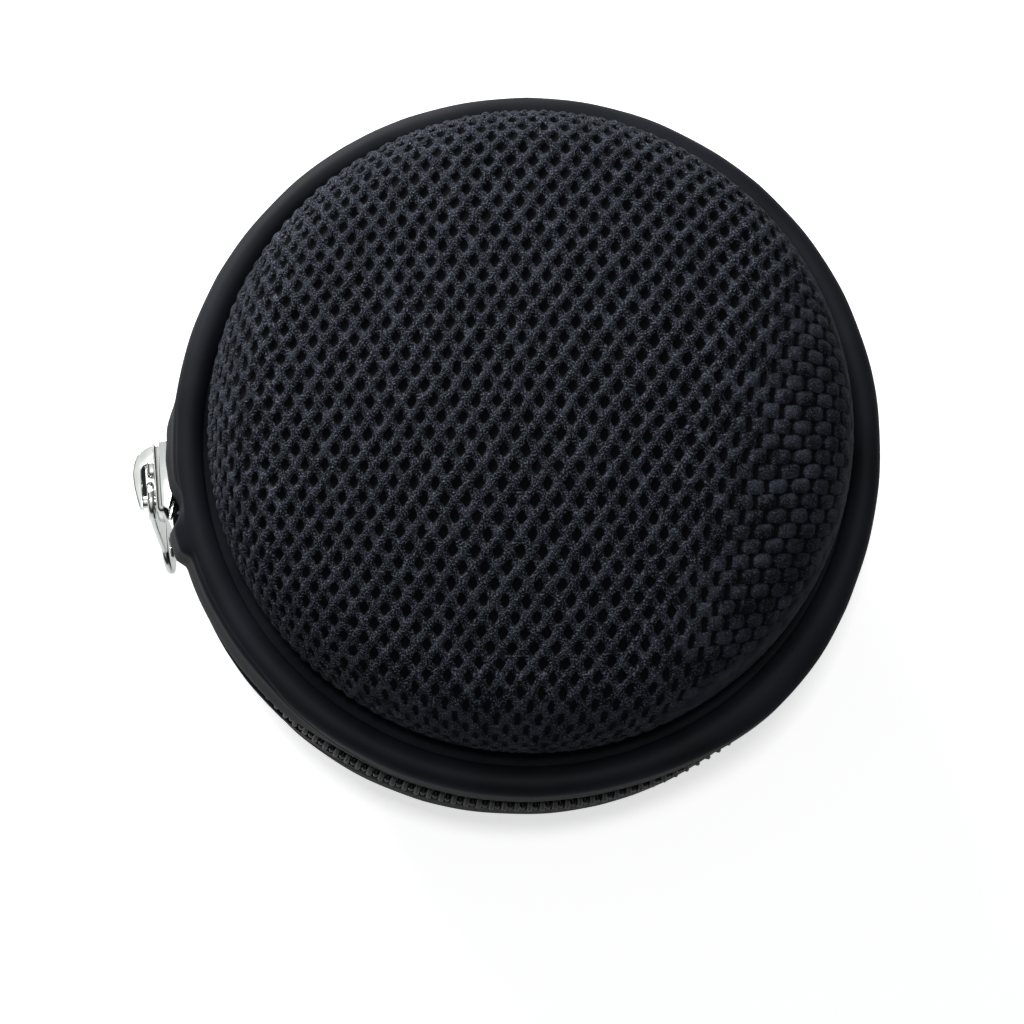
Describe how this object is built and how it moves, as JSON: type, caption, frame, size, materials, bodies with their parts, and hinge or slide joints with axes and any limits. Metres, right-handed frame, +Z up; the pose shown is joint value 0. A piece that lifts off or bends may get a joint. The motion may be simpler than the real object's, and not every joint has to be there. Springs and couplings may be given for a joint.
{
  "type": "round hard case",
  "caption": "Small round hard case of moulded foam under woven cloth, with a fabric hinge, a coil zip round its rim and a metal pull.",
  "frame": {"origin": "centre of the flat foot under the base, on the table", "axes": "+Z up through the lid's crown, +Y towards the fabric hinge, +X to the right seen from the front"},
  "size_m": [0.08, 0.0796, 0.0465],
  "materials": {
    "woven_cover": "coarse woven polyester, black",
    "foam_board": "moulded foam board",
    "lining": "smooth knitted lining",
    "rim": "smooth matte moulded rim",
    "binding": "woven binding tape",
    "zip_tape": "woven zip tape",
    "zip_coil": "black nylon coil",
    "metal": "nickel plated die casting"
  },
  "bodies": {
    "base": {"base_cover": "woven_cover", "base_shell": "foam_board", "base_lining": "lining", "base_rim": "rim", "base_binding": "binding", "base_zip_tape": "zip_tape", "base_zip_teeth": "zip_coil", "base_zip_stops": "metal", "hinge_tape_base": "zip_tape"},
    "lid": {"lid_cover": "woven_cover", "lid_shell": "foam_board", "lid_lining": "lining", "lid_rim": "rim", "lid_binding": "binding", "lid_zip_tape": "zip_tape", "lid_zip_teeth": "zip_coil", "lid_zip_stops": "metal", "hinge_tape_lid": "zip_tape"},
    "slider": {"slider_body": "metal", "slider_bail": "metal"},
    "pull": {"pull_tab": "metal"}
  },
  "joints": [
    {"name": "lid_hinge", "type": "hinge", "parent": "base", "child": "lid", "pos_m": [0, 0.03995, 0.022], "axis": [-1, 0, 0], "range_deg": [0, 170]},
    {"name": "slider_travel", "type": "hinge", "parent": "base", "child": "slider", "pos_m": [0, 0, 0.022], "axis": [0, 0, 1], "range_deg": [0, 290], "deforming": ["base_zip_teeth", "lid_zip_teeth"]},
    {"name": "pull_swing", "type": "hinge", "parent": "slider", "child": "pull", "pos_m": [-0.02606, 0.03321, 0.022], "axis": [-0.5736, 0.8192, 0], "range_deg": [-57, 158]}
  ]
}
